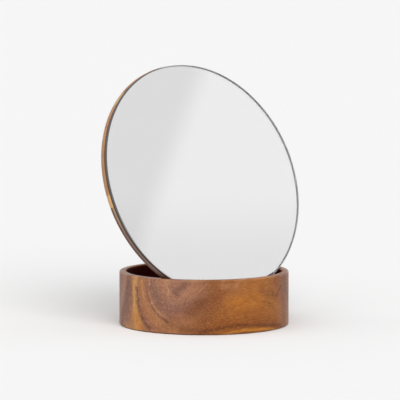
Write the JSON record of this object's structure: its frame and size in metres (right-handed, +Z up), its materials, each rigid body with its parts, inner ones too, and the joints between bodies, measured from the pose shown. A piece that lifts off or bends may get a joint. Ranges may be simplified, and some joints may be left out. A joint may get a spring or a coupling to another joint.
{
  "type": "table mirror",
  "caption": "Round mirror on a wooden backing disc, leaning back in a slot across a turned wooden tray whose dish holds small things; the mirror lifts out.",
  "frame": {"origin": "on the table, under the centre of the tray", "axes": "+Z up, the mirror faces -Y and leans back towards +Y, +X to the right of a person who looks into it"},
  "size_m": [0.2418, 0.17, 0.259],
  "materials": {
    "tray_wood": "oiled satin, strong dark and golden figure",
    "backing_wood": "oiled satin",
    "glass": "clear, polished bevel",
    "silver": "mirror silver with grey paint behind",
    "tape": "white foam tape",
    "felt": "brown felt"
  },
  "bodies": {
    "tray": {"tray": "tray_wood", "front_left_pad": "felt", "front_right_pad": "felt", "rear_left_pad": "felt", "rear_right_pad": "felt"},
    "mirror": {"mirror_glass": "glass", "silvering": "silver", "left_tape_strip": "tape", "middle_tape_strip": "tape", "right_tape_strip": "tape", "lower_backing_board": "backing_wood", "middle_backing_board": "backing_wood", "upper_backing_board": "backing_wood"}
  },
  "joints": [
    {"name": "mirror_lift", "type": "slide", "parent": "tray", "child": "mirror", "axis": [0, 0.3379, 0.9412], "range_m": [0, 0.06]}
  ]
}
